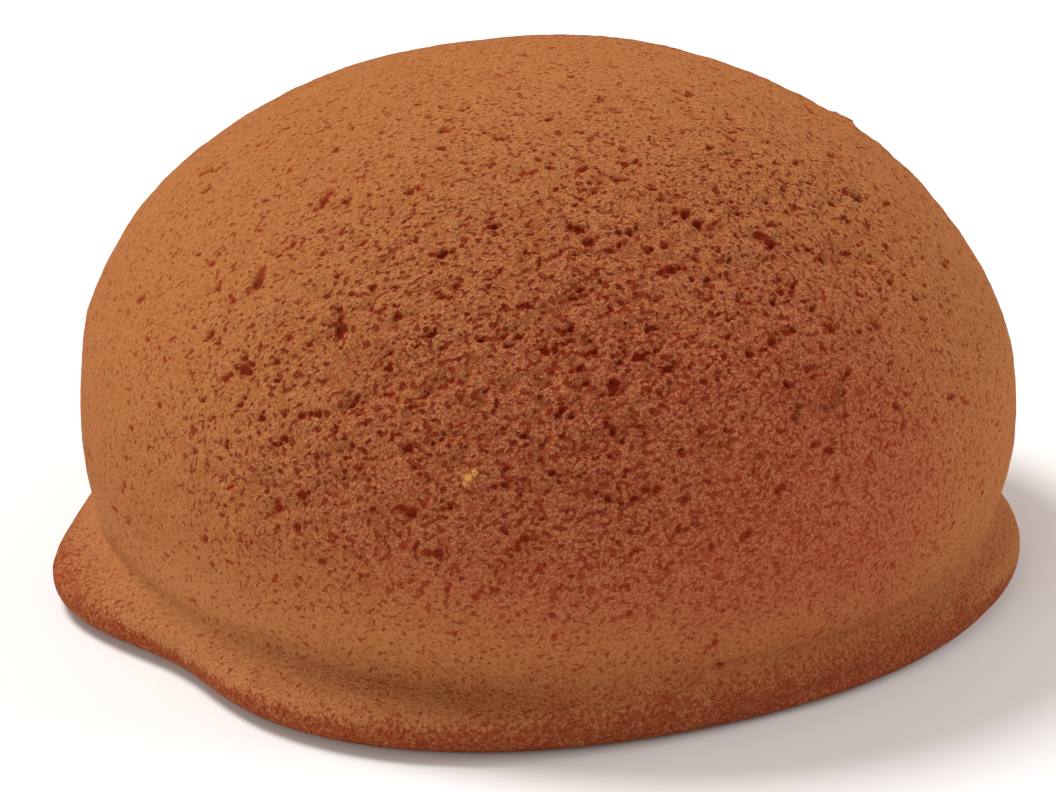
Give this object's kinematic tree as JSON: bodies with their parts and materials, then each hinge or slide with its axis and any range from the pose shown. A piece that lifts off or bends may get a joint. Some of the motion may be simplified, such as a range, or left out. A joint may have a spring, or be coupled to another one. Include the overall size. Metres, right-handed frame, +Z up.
{
  "type": "bread roll",
  "caption": "Round domed sweet bread roll with a pitted cookie crust, a soft neck and an uneven brim round its flat foot.",
  "frame": {"origin": "on the surface the roll rests on, under the middle of its bounding box", "axes": "+X towards the right of the front, along the roll's longest side; +Y from the front to the back; +Z up through the crown"},
  "size_m": [0.1132, 0.1108, 0.061],
  "materials": {
    "crust": "matte"
  },
  "bodies": {
    "root": {"bread_roll": "crust"}
  },
  "joints": []
}
